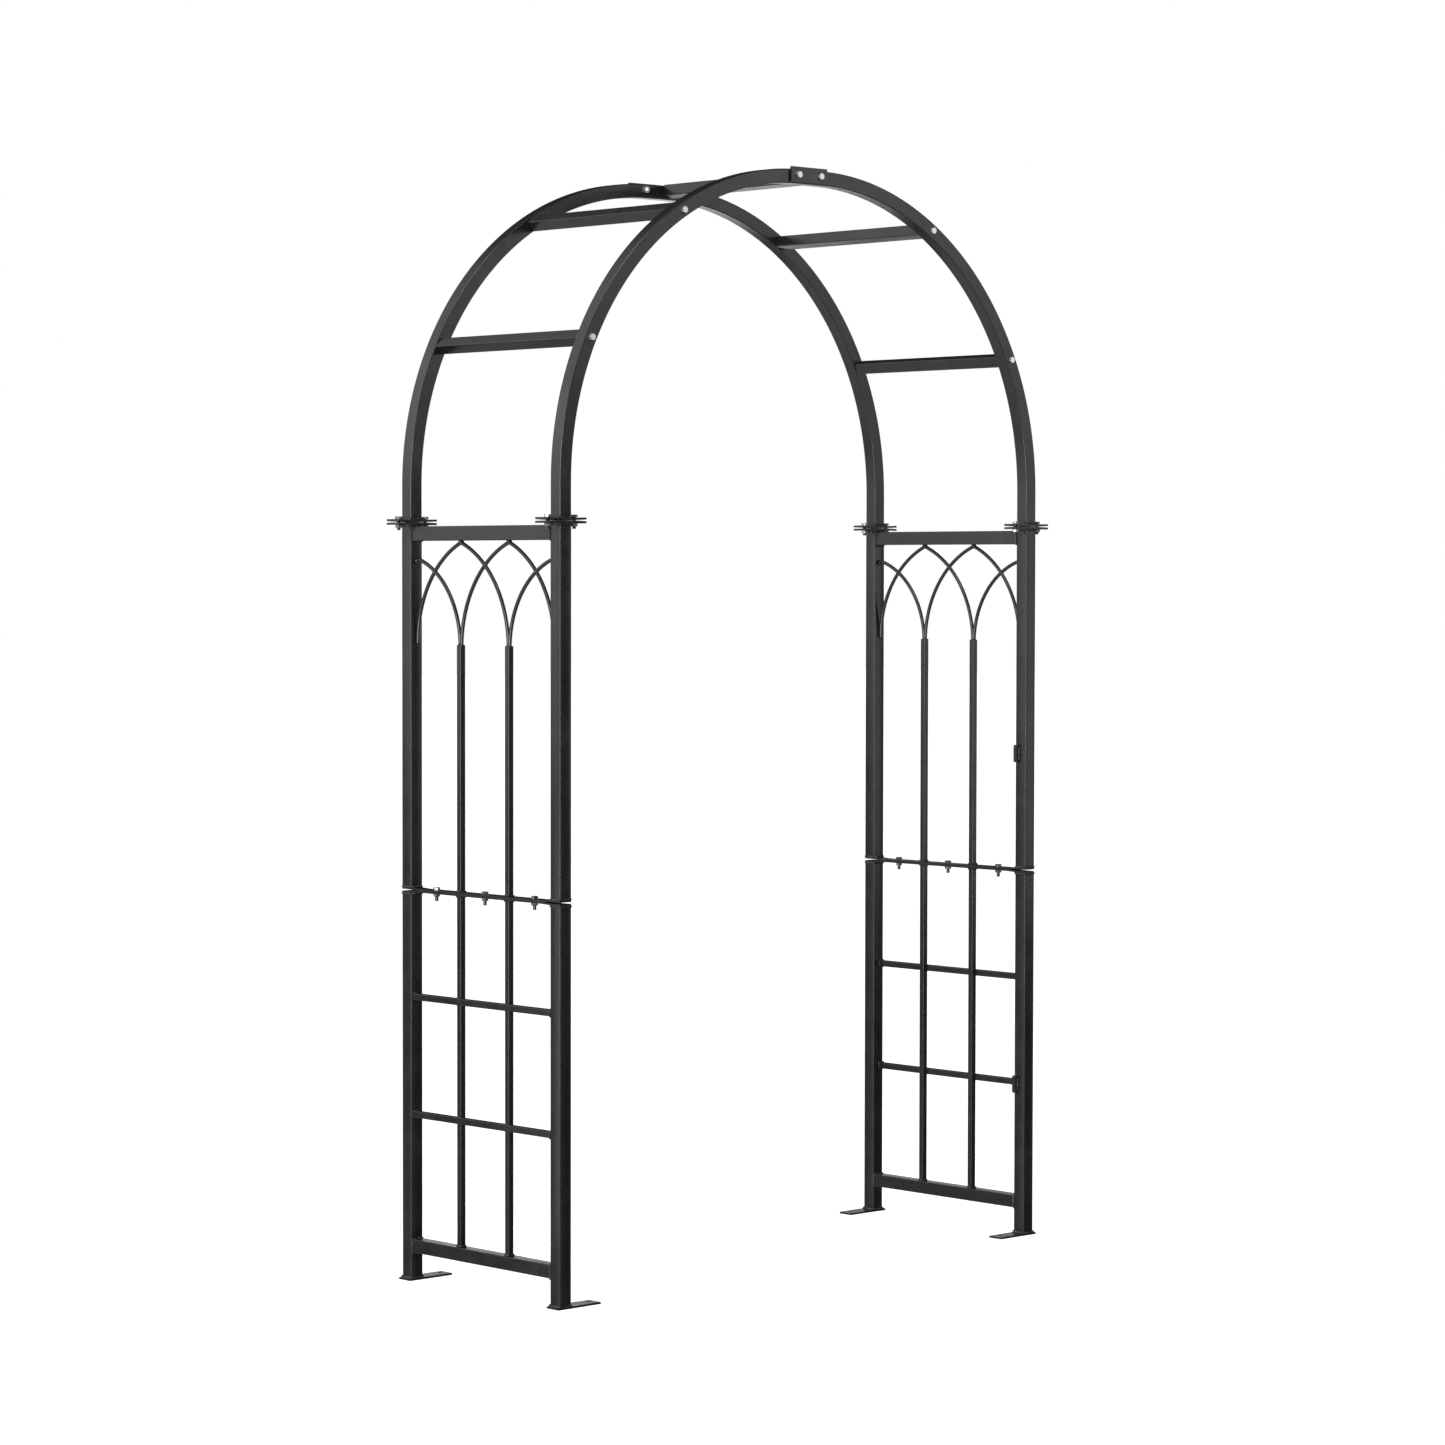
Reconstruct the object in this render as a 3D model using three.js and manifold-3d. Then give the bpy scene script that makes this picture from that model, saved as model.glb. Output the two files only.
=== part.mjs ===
// Metal trellis arch: two side panels of square tube, each an upper and a lower frame bolted together at
// mid height, and a round overhead arch of two hoops joined by five crossbars. Millimetres, +Z up.
// X runs from the left panel to the right one, Y from front to back. The origin is on the ground, at the
// middle of the footprint.
import * as THREE from 'three';
import Module from 'manifold-3d';
import { mergeVertices } from 'three/addons/utils/BufferGeometryUtils.js';

// ---- Driving dimensions ----
const HALF_SPAN = 685; // arch centre to post centre, across the path
const HALF_DEPTH = 235; // panel centre to post centre, along the path
const TUBE = 30; // square tube of posts, top rails and hoops
const WALL = 1.5;
const GAP = 0.3; // between pieces that touch
const WELD = 1; // how far a tube sinks into the plate it is welded to
const DRILL = 20; // half length of a drilled hole's cutter, more than any wall it goes through

const FOOT = { inward: 92, outward: 22, width: 36, thick: 4.5, hole: 10, holeFromPost: 74 };

const MID_Z = 815; // plane where the lower and upper frames meet
const FLAT = { width: 30, thick: 3.5, spread: 1.6, levelFrom: 222, closedTo: 195 };

const TOP_RAIL_Z = 1555;
const JOINT_Z = 1579; // plane where the hoops stand on the panels
const FLANGE = { length: 104, width: 38, thick: 4.4, spread: 1.4, boltOffset: 35 };

const BOTTOM_RAIL = { size: 28, z: 73 };

const BAR = 13; // square tube of the uprights
const BAR_WALL = 1.2;
const BAR_CAP = 4; // solid top of an upright, where its rods are welded on
const UPRIGHT_Y = 76;
const UPRIGHT_TOP = 1326;
const CROSS_BAR = 13.6;
const CROSS_BAR_Z = { left: [348.8, 593.7], right: [338.3, 575] };

const ROD = 8; // round rod of the tracery
const ROD_SIDES = 8;
const ROD_STEPS = 9;
const ROD_SPREAD = 2; // the two rods leave an upright this far either side of its middle
const SPRING_Z = 1321; // where the rods leave the uprights
const APEX_Z = 1536;
const POST_ROD_Z = { start: 1329, end: 1503 };

const ARC_RADIUS = 648; // centre line of the bent part of a hoop
const ARC_CENTRE_Z = 1656;
const CROWN_STRAIGHT = HALF_SPAN - ARC_RADIUS; // each hoop is straight this far either side of the middle
const CROWN_Z = ARC_CENTRE_Z + ARC_RADIUS;
const ARC_STEPS = 24;
const SPLICE = { x: -12, rise: 3, length: 106, height: 33, thick: 4.5, boltOffset: 32 };
const SPLICE_Z = CROWN_Z + SPLICE.rise; // the splice plates and their bolts sit a little high on the tube

const CROSSBAR = { size: 25, wall: 1.5, plug: 4 };
// Angle round the arch from the crown, and how far each bar has turned on its bolts, in degrees.
const CROSSBARS = [
  { name: 'crossbar_left_lower', angle: -63.5, turn: 42.5 },
  { name: 'crossbar_left_upper', angle: -30.5, turn: 49.5 },
  { name: 'crossbar_crown', x: SPLICE.x + SPLICE.boltOffset, turn: 12 },
  { name: 'crossbar_right_upper', angle: 30.5, turn: 18.5 },
  { name: 'crossbar_right_lower', angle: 63.5, turn: 69 },
];

const BOLT = { shank: 8, hole: 9, acrossFlats: 13, head: 5.3, nut: 6.5, sides: 12 };
const CROSSBAR_BOLT_REACH = 12; // thread inside a crossbar
const MID_BOLT_Y = [-155, 0, 155];
const MID_TAIL = 9.5; // thread showing below the nut
const FLANGE_TAIL = 5;
const SPLICE_TAIL = 4;

const LUG = { proud: 8, width: 11, height: 38, chamfer: 1.5, z: [337, 1075] };

// ---- Materials ----
const powderCoat = () => new THREE.MeshStandardMaterial({ color: 0x1b1c1e, roughness: 0.45, metalness: 0.2 });
const zincPlate = () => new THREE.MeshStandardMaterial({ color: 0xc9cbcc, roughness: 0.35, metalness: 0.9 });

// ---- Solids ----
const wasm = await Module();
wasm.setup();

function toSolid(geometry) {
  const bare = geometry.clone();
  bare.deleteAttribute('normal');
  bare.deleteAttribute('uv');
  const merged = mergeVertices(bare, 1e-4);
  const mesh = new wasm.Mesh({
    numProp: 3,
    vertProperties: new Float32Array(merged.attributes.position.array),
    triVerts: new Uint32Array(merged.index.array),
  });
  return new wasm.Manifold(mesh);
}

function toGeometry(solid) {
  const mesh = solid.getMesh();
  const geometry = new THREE.BufferGeometry();
  geometry.setAttribute('position', new THREE.BufferAttribute(new Float32Array(mesh.vertProperties), 3));
  geometry.setIndex(new THREE.BufferAttribute(new Uint32Array(mesh.triVerts), 1));
  return geometry;
}

function boxBetween(low, high) {
  const size = high.map((value, i) => value - low[i]);
  const geometry = new THREE.BoxGeometry(...size);
  geometry.translate(...low.map((value, i) => value + size[i] / 2));
  return toSolid(geometry);
}

// A box about a centre, size given along X, Y and Z.
function boxAbout([x, y, z], [dx, dy, dz]) {
  return boxBetween([x - dx / 2, y - dy / 2, z - dz / 2], [x + dx / 2, y + dy / 2, z + dz / 2]);
}

// A square bar straight along one axis ('x', 'y' or 'z').
function barAlong(axis, from, to, centre, size) {
  const index = 'xyz'.indexOf(axis);
  const low = centre.map((value) => value - size / 2);
  const high = centre.map((value) => value + size / 2);
  low[index] = from;
  high[index] = to;
  return boxBetween(low, high);
}

// The space inside a square tube, run on a little past its open ends.
function boreAlong(axis, from, to, centre, size, wall) {
  return barAlong(axis, from - 1, to + 1, centre, size - 2 * wall);
}

// A square tube open at both ends.
function tubeAlong(axis, from, to, centre, size, wall) {
  return barAlong(axis, from, to, centre, size).subtract(boreAlong(axis, from, to, centre, size, wall));
}

// A round or hexagonal prism along an axis, from one coordinate to another, with flats of the given width.
function prismAlong(axis, from, to, centre, acrossFlats, sides) {
  const radius = acrossFlats / 2 / Math.cos(Math.PI / sides);
  const geometry = new THREE.CylinderGeometry(radius, radius, Math.abs(to - from), sides);
  if (axis === 'z') geometry.rotateX(Math.PI / 2);
  const middle = [...centre];
  middle['xyz'.indexOf(axis)] = (from + to) / 2;
  geometry.translate(...middle);
  return toSolid(geometry);
}

const hole = (axis, from, to, centre, width) => prismAlong(axis, from, to, centre, width, BOLT.sides);

// An outline in the XZ plane, pushed through along Y from one side to the other.
function slabAlongY(shape, fromY, toY, segments = 1) {
  const geometry = new THREE.ExtrudeGeometry(shape, {
    depth: toY - fromY,
    bevelEnabled: false,
    curveSegments: segments,
  });
  geometry.rotateX(Math.PI / 2);
  geometry.translate(0, toY, 0);
  return toSolid(geometry);
}

// ---- The group ----
const arch = new THREE.Group();

function addPiece(name, solid, material = powderCoat()) {
  const mesh = new THREE.Mesh(toGeometry(solid), material);
  mesh.name = name;
  arch.add(mesh);
}

const SIDES = [
  { side: 'left', sx: -1 },
  { side: 'right', sx: 1 },
];
const ENDS = [
  { end: 'front', sy: -1 },
  { end: 'back', sy: 1 },
];

// ---- Bent flat bars ----
// A flat strip whose tips spring away from its partner. Profile points are [along, rise].
function springStrip(profile, thick, up) {
  const near = profile.map(([along, rise]) => [along, up * (GAP / 2 + rise)]);
  const far = profile.map(([along, rise]) => [along, up * (GAP / 2 + rise + thick)]).reverse();
  const outline = new THREE.Shape();
  [...near, ...far].forEach(([along, height], i) => {
    if (i === 0) outline.moveTo(along, height);
    else outline.lineTo(along, height);
  });
  return outline;
}

// Flange plate: lies along X on the joint plane, tips sprung away from its partner.
function flangePlate(sx, sy, up) {
  const tip = FLANGE.length / 2;
  const profile = [[-tip, FLANGE.spread], [-TUBE / 2, 0], [TUBE / 2, 0], [tip, FLANGE.spread]];
  let plate = slabAlongY(springStrip(profile, FLANGE.thick, up), -FLANGE.width / 2, FLANGE.width / 2);
  for (const s of [-1, 1]) {
    plate = plate.subtract(hole('z', -DRILL, DRILL, [s * FLANGE.boltOffset, 0, 0], BOLT.hole));
  }
  return plate.translate([sx * HALF_SPAN, sy * HALF_DEPTH, JOINT_Z]);
}

// Flat bar across a panel at mid height: closed up in the middle, sprung apart under the posts.
function midFlatBar(sx, up) {
  const tip = HALF_DEPTH + TUBE / 2;
  const { spread, levelFrom, closedTo } = FLAT;
  const half = [[closedTo, 0], [levelFrom, spread], [tip, spread]];
  const mirrored = half.map(([along, rise]) => [-along, rise]).reverse();
  const profile = [...mirrored, ...half];
  let bar = slabAlongY(springStrip(profile, FLAT.thick, up), -FLAT.width / 2, FLAT.width / 2);
  bar = bar.rotate([0, 0, 90]);
  for (const y of MID_BOLT_Y) {
    bar = bar.subtract(hole('z', -DRILL, DRILL, [0, y, 0], BOLT.hole));
  }
  return bar.translate([sx * HALF_SPAN, 0, MID_Z]);
}

const FLAT_OUTER = GAP / 2 + FLAT.spread + FLAT.thick; // outer face of a flat bar under a post
const FLAT_INNER = GAP / 2 + FLAT.thick; // outer face of a flat bar in the bays
const FLANGE_OUTER = GAP / 2 + FLANGE.thick;

// ---- Side panels ----
function upperPost(sx, sy) {
  const centre = [sx * HALF_SPAN, sy * HALF_DEPTH, 0];
  const tube = tubeAlong('z', MID_Z + FLAT_OUTER + GAP, JOINT_Z - FLANGE_OUTER + WELD, centre, TUBE, WALL);
  return tube.add(flangePlate(sx, sy, -1));
}

function lowerPost(sx, sy) {
  const x = sx * HALF_SPAN;
  const y = sy * HALF_DEPTH;
  const outer = x + sx * FOOT.outward;
  const inner = x - sx * FOOT.inward;
  const holeX = x - sx * FOOT.holeFromPost;
  const low = [Math.min(outer, inner), y - FOOT.width / 2, 0];
  const high = [Math.max(outer, inner), y + FOOT.width / 2, FOOT.thick];
  const foot = boxBetween(low, high).subtract(hole('z', -DRILL, DRILL, [holeX, y, 0], FOOT.hole));
  const tube = tubeAlong('z', FOOT.thick - WELD, MID_Z - FLAT_OUTER - GAP, [x, y, 0], TUBE, WALL);
  return tube.add(foot);
}

// Straight tube between the front and back posts of a panel.
function railAcross(sx, z, size) {
  const reach = HALF_DEPTH - TUBE / 2 - GAP;
  return tubeAlong('y', -reach, reach, [sx * HALF_SPAN, 0, z], size, WALL);
}

// A rod in the panel's own YZ plane, leaving `start` straight up and bending round to `end`.
function tracery(start, end) {
  const across = end[0] - start[0];
  const rise = end[1] - start[1];
  const radius = (across * across + rise * rise) / (2 * Math.abs(across));
  const towards = Math.sign(across);
  const sweep = Math.asin(rise / radius);
  const points = [];
  for (let i = 0; i <= ROD_STEPS; i += 1) {
    const a = (sweep * i) / ROD_STEPS;
    const y = start[0] + towards * radius * (1 - Math.cos(a));
    points.push(new THREE.Vector3(0, y, start[1] + radius * Math.sin(a)));
  }
  const section = new THREE.Shape();
  for (let i = 0; i < ROD_SIDES; i += 1) {
    const a = (2 * Math.PI * i) / ROD_SIDES;
    const [u, v] = [(ROD / 2) * Math.cos(a), (ROD / 2) * Math.sin(a)];
    if (i === 0) section.moveTo(u, v);
    else section.lineTo(u, v);
  }
  const extrudePath = new THREE.CatmullRomCurve3(points);
  return toSolid(new THREE.ExtrudeGeometry(section, { steps: ROD_STEPS, extrudePath, bevelEnabled: false }));
}

// The pointed-arch tracery and the two uprights it grows out of, welded into one lattice.
function upperLattice(sx) {
  const centreX = sx * HALF_SPAN;
  const innerFace = HALF_DEPTH - TUBE / 2 - GAP;
  const base = MID_Z + FLAT_INNER + GAP;
  let lattice = null;
  const join = (solid) => {
    lattice = lattice ? lattice.add(solid) : solid;
  };
  for (const s of [-1, 1]) {
    join(tubeAlong('z', base, UPRIGHT_TOP, [0, s * UPRIGHT_Y, 0], BAR, BAR_WALL));
    join(boxAbout([0, s * UPRIGHT_Y, UPRIGHT_TOP - BAR_CAP / 2], [BAR, BAR, BAR_CAP]));
    const post = s * (innerFace - ROD / 2);
    join(tracery([s * (UPRIGHT_Y + ROD_SPREAD), SPRING_Z], [post, POST_ROD_Z.end]));
    join(tracery([s * (UPRIGHT_Y - ROD_SPREAD), SPRING_Z], [-s * UPRIGHT_Y, APEX_Z]));
    join(tracery([post, POST_ROD_Z.start], [s * UPRIGHT_Y, APEX_Z]));
  }
  // The rods are cut off flush with the posts and the top rail.
  const underRail = TOP_RAIL_Z - TUBE / 2 - GAP;
  const room = boxBetween([-TUBE, -innerFace, base], [TUBE, innerFace, underRail]);
  return lattice.intersect(room).translate([centreX, 0, 0]);
}

// Two uprights with two cross bars notched over their outer faces, welded into one lattice.
function lowerLattice(side, sx) {
  const reach = HALF_DEPTH - TUBE / 2 - GAP;
  const bottom = BOTTOM_RAIL.z + BOTTOM_RAIL.size / 2 + GAP;
  const top = MID_Z - FLAT_INNER - GAP;
  const crossX = sx * (HALF_SPAN + TUBE / 2 - CROSS_BAR / 2);
  const uprights = [-1, 1].map((s) => ['z', bottom, top, [sx * HALF_SPAN, s * UPRIGHT_Y, 0], BAR]);
  const crossBars = CROSS_BAR_Z[side].map((z) => ['y', -reach, reach, [crossX, 0, z], CROSS_BAR]);
  const bars = [...uprights, ...crossBars];
  const outside = bars.map((bar) => barAlong(...bar)).reduce((a, b) => a.add(b));
  const inside = bars.map((bar) => boreAlong(...bar, BAR_WALL)).reduce((a, b) => a.add(b));
  return outside.subtract(inside);
}

for (const { side, sx } of SIDES) {
  for (const { end, sy } of ENDS) {
    addPiece(`${side}_${end}_lower_post`, lowerPost(sx, sy));
    addPiece(`${side}_${end}_upper_post`, upperPost(sx, sy));
  }
  addPiece(`${side}_bottom_rail`, railAcross(sx, BOTTOM_RAIL.z, BOTTOM_RAIL.size));
  addPiece(`${side}_top_rail`, railAcross(sx, TOP_RAIL_Z, TUBE));
  addPiece(`${side}_lower_flat_bar`, midFlatBar(sx, -1));
  addPiece(`${side}_upper_flat_bar`, midFlatBar(sx, 1));
  addPiece(`${side}_lower_lattice`, lowerLattice(side, sx));
  addPiece(`${side}_upper_lattice`, upperLattice(sx));
}

// ---- Gate lugs on the right front post ----
function gateLug(z) {
  const face = HALF_SPAN - TUBE / 2 - GAP;
  const yBack = -(HALF_DEPTH - TUBE / 2);
  const { proud, width, height, chamfer } = LUG;
  const outline = new THREE.Shape();
  outline.moveTo(face, z - height / 2);
  outline.lineTo(face, z + height / 2);
  outline.lineTo(face - proud + chamfer, z + height / 2);
  outline.lineTo(face - proud, z + height / 2 - chamfer);
  outline.lineTo(face - proud, z - height / 2 + chamfer);
  outline.lineTo(face - proud + chamfer, z - height / 2);
  return slabAlongY(outline, yBack - width, yBack);
}

addPiece('gate_lug_lower', gateLug(LUG.z[0]));
addPiece('gate_lug_upper', gateLug(LUG.z[1]));

// ---- Overhead arch ----
// Where a crossbar's bolt goes through the hoops.
function pointOnArch({ angle, x }) {
  if (x !== undefined) return [x, SPLICE_Z];
  const a = THREE.MathUtils.degToRad(angle);
  const centreX = Math.sign(angle) * CROWN_STRAIGHT;
  return [centreX + ARC_RADIUS * Math.sin(a), ARC_CENTRE_Z + ARC_RADIUS * Math.cos(a)];
}

// Outline of a right-hand quarter hoop: straight leg, quarter bend, straight crown. `offset` is half the
// tube's depth in the hoop's plane, `extra` runs the ends on.
function quarterOutline(crownEnd, offset, extra) {
  const outline = new THREE.Shape();
  const legEnd = JOINT_Z + FLANGE_OUTER - WELD - extra;
  const outer = ARC_RADIUS + offset;
  const inner = ARC_RADIUS - offset;
  outline.moveTo(CROWN_STRAIGHT + outer, legEnd);
  outline.lineTo(CROWN_STRAIGHT + outer, ARC_CENTRE_Z);
  outline.absarc(CROWN_STRAIGHT, ARC_CENTRE_Z, outer, 0, Math.PI / 2, false);
  outline.lineTo(crownEnd - extra, CROWN_Z + offset);
  outline.lineTo(crownEnd - extra, CROWN_Z - offset);
  outline.absarc(CROWN_STRAIGHT, ARC_CENTRE_Z, inner, Math.PI / 2, 0, true);
  outline.lineTo(CROWN_STRAIGHT + inner, legEnd);
  return outline;
}

function quarterHoop(sx, sy) {
  const crownEnd = sx * SPLICE.x + GAP / 2;
  const width = TUBE / 2;
  const bore = TUBE / 2 - WALL;
  const outer = slabAlongY(quarterOutline(crownEnd, width, 0), -width, width, ARC_STEPS);
  const inner = slabAlongY(quarterOutline(crownEnd, bore, 2 * WALL), -bore, bore, ARC_STEPS);
  let hoop = outer.subtract(inner);
  if (sx < 0) hoop = hoop.mirror([1, 0, 0]);
  const boltPoints = CROSSBARS.map(pointOnArch);
  boltPoints.push([SPLICE.x - SPLICE.boltOffset, SPLICE_Z]);
  for (const [x, z] of boltPoints) {
    hoop = hoop.subtract(hole('y', -TUBE, TUBE, [x, 0, z], BOLT.hole));
  }
  return hoop.translate([0, sy * HALF_DEPTH, 0]).add(flangePlate(sx, sy, 1));
}

// Splice plate on the outer face of a hoop, over the butt joint of its two quarters.
function splicePlate(sy) {
  const y = sy * (HALF_DEPTH + TUBE / 2 + GAP + SPLICE.thick / 2);
  let plate = boxAbout([SPLICE.x, y, SPLICE_Z], [SPLICE.length, SPLICE.thick, SPLICE.height]);
  for (const s of [-1, 1]) {
    const x = SPLICE.x + s * SPLICE.boltOffset;
    plate = plate.subtract(hole('y', y - SPLICE.thick, y + SPLICE.thick, [x, y, SPLICE_Z], BOLT.hole));
  }
  return plate;
}

// Crossbar: square tube with a tapped plug in each end, turned a little on its bolts.
function crossbar(spec) {
  const [x, z] = pointOnArch(spec);
  const reach = HALF_DEPTH - TUBE / 2 - GAP;
  let bar = tubeAlong('y', -reach, reach, [0, 0, 0], CROSSBAR.size, CROSSBAR.wall);
  for (const s of [-1, 1]) {
    const plug = barAlong('y', reach - CROSSBAR.plug, reach, [0, 0, 0], CROSSBAR.size - CROSSBAR.wall);
    const tapped = plug.subtract(hole('y', reach - DRILL, reach + DRILL, [0, 0, 0], BOLT.hole));
    bar = bar.add(s > 0 ? tapped : tapped.mirror([0, 1, 0]));
  }
  return bar.rotate([0, spec.turn, 0]).translate([x, 0, z]);
}

for (const { side, sx } of SIDES) {
  for (const { end, sy } of ENDS) {
    addPiece(`${end}_hoop_${side}_quarter`, quarterHoop(sx, sy));
  }
}
for (const { end, sy } of ENDS) {
  addPiece(`${end}_splice_plate`, splicePlate(sy));
}
for (const spec of CROSSBARS) {
  addPiece(spec.name, crossbar(spec));
}

// ---- Fasteners ----
// A hexagon bolt along an axis. `seat` is the face its head bears on, `dir` is the way its shank points,
// `length` its shank, and `nutSeat` the face its nut bears on, if it has one.
function bolt(axis, centre, seat, dir, length, nutSeat) {
  const under = seat - dir * GAP;
  let solid = prismAlong(axis, under - dir * BOLT.head, under, centre, BOLT.acrossFlats, 6);
  solid = solid.add(prismAlong(axis, under - dir, under + dir * length, centre, BOLT.shank, BOLT.sides));
  if (nutSeat !== undefined) {
    const near = nutSeat + dir * GAP;
    solid = solid.add(prismAlong(axis, near, near + dir * BOLT.nut, centre, BOLT.acrossFlats, 6));
  }
  return solid;
}

// Three vertical bolts through the flat bars of each panel, heads up.
for (const { side, sx } of SIDES) {
  MID_BOLT_Y.forEach((y, i) => {
    const head = MID_Z + FLAT_INNER;
    const nut = MID_Z - FLAT_INNER;
    const length = head - nut + BOLT.nut + MID_TAIL;
    const place = ['front', 'middle', 'back'][i];
    const solid = bolt('z', [sx * HALF_SPAN, y, 0], head, -1, length, nut);
    addPiece(`${side}_panel_bolt_${place}`, solid, zincPlate());
  });
}

// Two vertical bolts through each pair of flange plates.
for (const { side, sx } of SIDES) {
  for (const { end, sy } of ENDS) {
    for (const [s, place] of [[-1, 'inner'], [1, 'outer']]) {
      const x = sx * (HALF_SPAN + s * FLANGE.boltOffset);
      const rise = FLANGE.spread; // the sprung tips hold head and nut this much further off
      const head = JOINT_Z + FLANGE_OUTER + rise;
      const nut = JOINT_Z - FLANGE_OUTER - rise;
      const length = head - nut + BOLT.nut + FLANGE_TAIL;
      const solid = bolt('z', [x, sy * HALF_DEPTH, 0], head, -1, length, nut);
      addPiece(`${side}_${end}_flange_bolt_${place}`, solid, zincPlate());
    }
  }
}

// One bolt through each hoop into each crossbar. The crown crossbar's bolts go through the splice plates.
const hoopFace = HALF_DEPTH + TUBE / 2;
const spliceFace = hoopFace + GAP + SPLICE.thick;
for (const spec of CROSSBARS) {
  const [x, z] = pointOnArch(spec);
  const seat = spec.x === undefined ? hoopFace : spliceFace;
  const length = seat - (HALF_DEPTH - TUBE / 2) + CROSSBAR_BOLT_REACH;
  for (const { end, sy } of ENDS) {
    const solid = bolt('y', [x, 0, z], sy * seat, -sy, length);
    addPiece(spec.name.replace('crossbar', `${end}_crossbar_bolt`), solid, zincPlate());
  }
}

// One bolt and nut through the other end of each splice plate.
for (const { end, sy } of ENDS) {
  const x = SPLICE.x - SPLICE.boltOffset;
  const nutSeat = sy * (HALF_DEPTH - TUBE / 2);
  const length = spliceFace - Math.abs(nutSeat) + BOLT.nut + SPLICE_TAIL;
  const solid = bolt('y', [x, 0, SPLICE_Z], sy * spliceFace, -sy, length, nutSeat);
  addPiece(`${end}_splice_bolt`, solid, zincPlate());
}

export default arch;
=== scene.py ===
"""Metal trellis arch: the looks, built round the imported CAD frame. Metres, +Z up.

Every CAD node gets one detailed piece: rounded tube, bent plate, weld beads, hexagon bolts with threads.
"""

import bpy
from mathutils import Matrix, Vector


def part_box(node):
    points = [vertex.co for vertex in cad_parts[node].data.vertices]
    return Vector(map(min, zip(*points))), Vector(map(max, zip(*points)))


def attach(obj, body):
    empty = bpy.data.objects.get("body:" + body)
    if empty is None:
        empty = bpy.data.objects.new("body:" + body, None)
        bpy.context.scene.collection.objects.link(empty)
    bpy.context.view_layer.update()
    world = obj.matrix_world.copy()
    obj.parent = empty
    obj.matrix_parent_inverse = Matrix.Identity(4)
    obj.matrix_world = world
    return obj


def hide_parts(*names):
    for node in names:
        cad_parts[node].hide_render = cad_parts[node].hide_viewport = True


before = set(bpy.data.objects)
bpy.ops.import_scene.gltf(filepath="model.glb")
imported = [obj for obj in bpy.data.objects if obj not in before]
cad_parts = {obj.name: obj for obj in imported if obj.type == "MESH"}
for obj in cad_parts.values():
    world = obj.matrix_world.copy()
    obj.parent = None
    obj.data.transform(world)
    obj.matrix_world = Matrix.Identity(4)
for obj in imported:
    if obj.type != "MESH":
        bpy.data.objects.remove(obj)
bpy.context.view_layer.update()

import math
import random

import bpy
from mathutils import Euler, Quaternion, Vector

# ---- Sizes that the CAD boxes don't give ----
TUBE = 0.030  # square tube of posts, top rails and hoops
BOTTOM_RAIL = 0.028
POST_CORNER = 0.0015  # corner radii
HOOP_CORNER = 0.0022
BAR = 0.013  # square tube of the uprights
CROSS_BAR = 0.0136  # square tube across a lower panel
BAR_CORNER = 0.0014
ROD = 0.008  # round rod of the pointed arches
CROSSBAR = 0.025  # square tube between the hoops
CROSSBAR_CORNER = 0.0022
PLATE_EDGE = 0.0006  # worn edge of a cut plate
TIP_TURN = 0.0001  # a bent strip is this much shorter, because its end face leans out
GAP = 0.0003

FOOT = {"thick": 0.0045, "hole": 0.010, "hole_from_post": 0.074}
FLAT = {"width": 0.030, "thick": 0.0035, "spread": 0.0016, "level_from": 0.222, "closed_to": 0.195}
FLANGE = {"length": 0.104, "width": 0.038, "thick": 0.0044, "spread": 0.0014}

UPRIGHT_Y = 0.076  # an upright's distance from the panel's middle
UPRIGHT_TOP = 1.326
ROD_SPREAD = 0.002  # the two rods leave an upright this far either side of its middle
SPRING_Z = 1.321
APEX_Z = 1.536
POST_ROD_START = 1.329
POST_ROD_END = 1.503
CROSS_BAR_Z = {"left": (0.3488, 0.5937), "right": (0.3383, 0.575)}

ARC_RADIUS = 0.648
CROSSBAR_TURNS = {  # degrees, about each crossbar's own length
    "left_lower": 42.5,
    "left_upper": 49.5,
    "crown": 12,
    "right_upper": 18.5,
    "right_lower": 69,
}

BOLT = {"shank": 0.008, "across_flats": 0.013, "head": 0.0053, "nut": 0.0065, "pitch": 0.00125}
PANEL_TAIL = 0.0095  # thread showing below a nut
FLANGE_TAIL = 0.005
SPLICE_TAIL = 0.004

SUNK = 0.001  # how far a tube runs into the plate it is welded to
COLLARS = {  # bead radius, how far it stands off the face, and how much wider than the tube it runs
    "flange": (0.0032, 0.0010, 0.0020),
    "foot": (0.0030, 0.0010, 0.0014),
    "mid_joint": (0.0022, 0.0014, 0.0004),
    "rail": (0.0027, 0.0012, 0.0),
    "cross_bar": (0.0025, 0.0010, 0.0),
    "upright": (0.0023, 0.0012, 0.0006),
}
COLLAR_CORNER = 0.002
BEAD = {"bay": 0.0034, "crossing": 0.0027, "post_rod": 0.0030, "lug": 0.0020}  # radii
SPOT = {"top": 0.0062, "apex": 0.0066, "post": 0.0056, "lug": 0.0042}  # radii of single puddles
CROSSING_REACH = 0.42  # of an upright's width, either way from its middle
BAY_BEAD = {"reach": 0.013, "off_post": 0.0004, "off_bar": 0.0012}
POST_ROD_BEAD = (-0.002, 0.022)  # its ends, from the start of the rod

# ---- The frame's own places ----
X, Y, Z = Vector((1, 0, 0)), Vector((0, 1, 0)), Vector((0, 0, 1))
SIDES = {"left": -1, "right": 1}
ENDS = {"front": -1, "back": 1}


def middle(node):
    low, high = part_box(node)
    return (low + high) / 2


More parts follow.
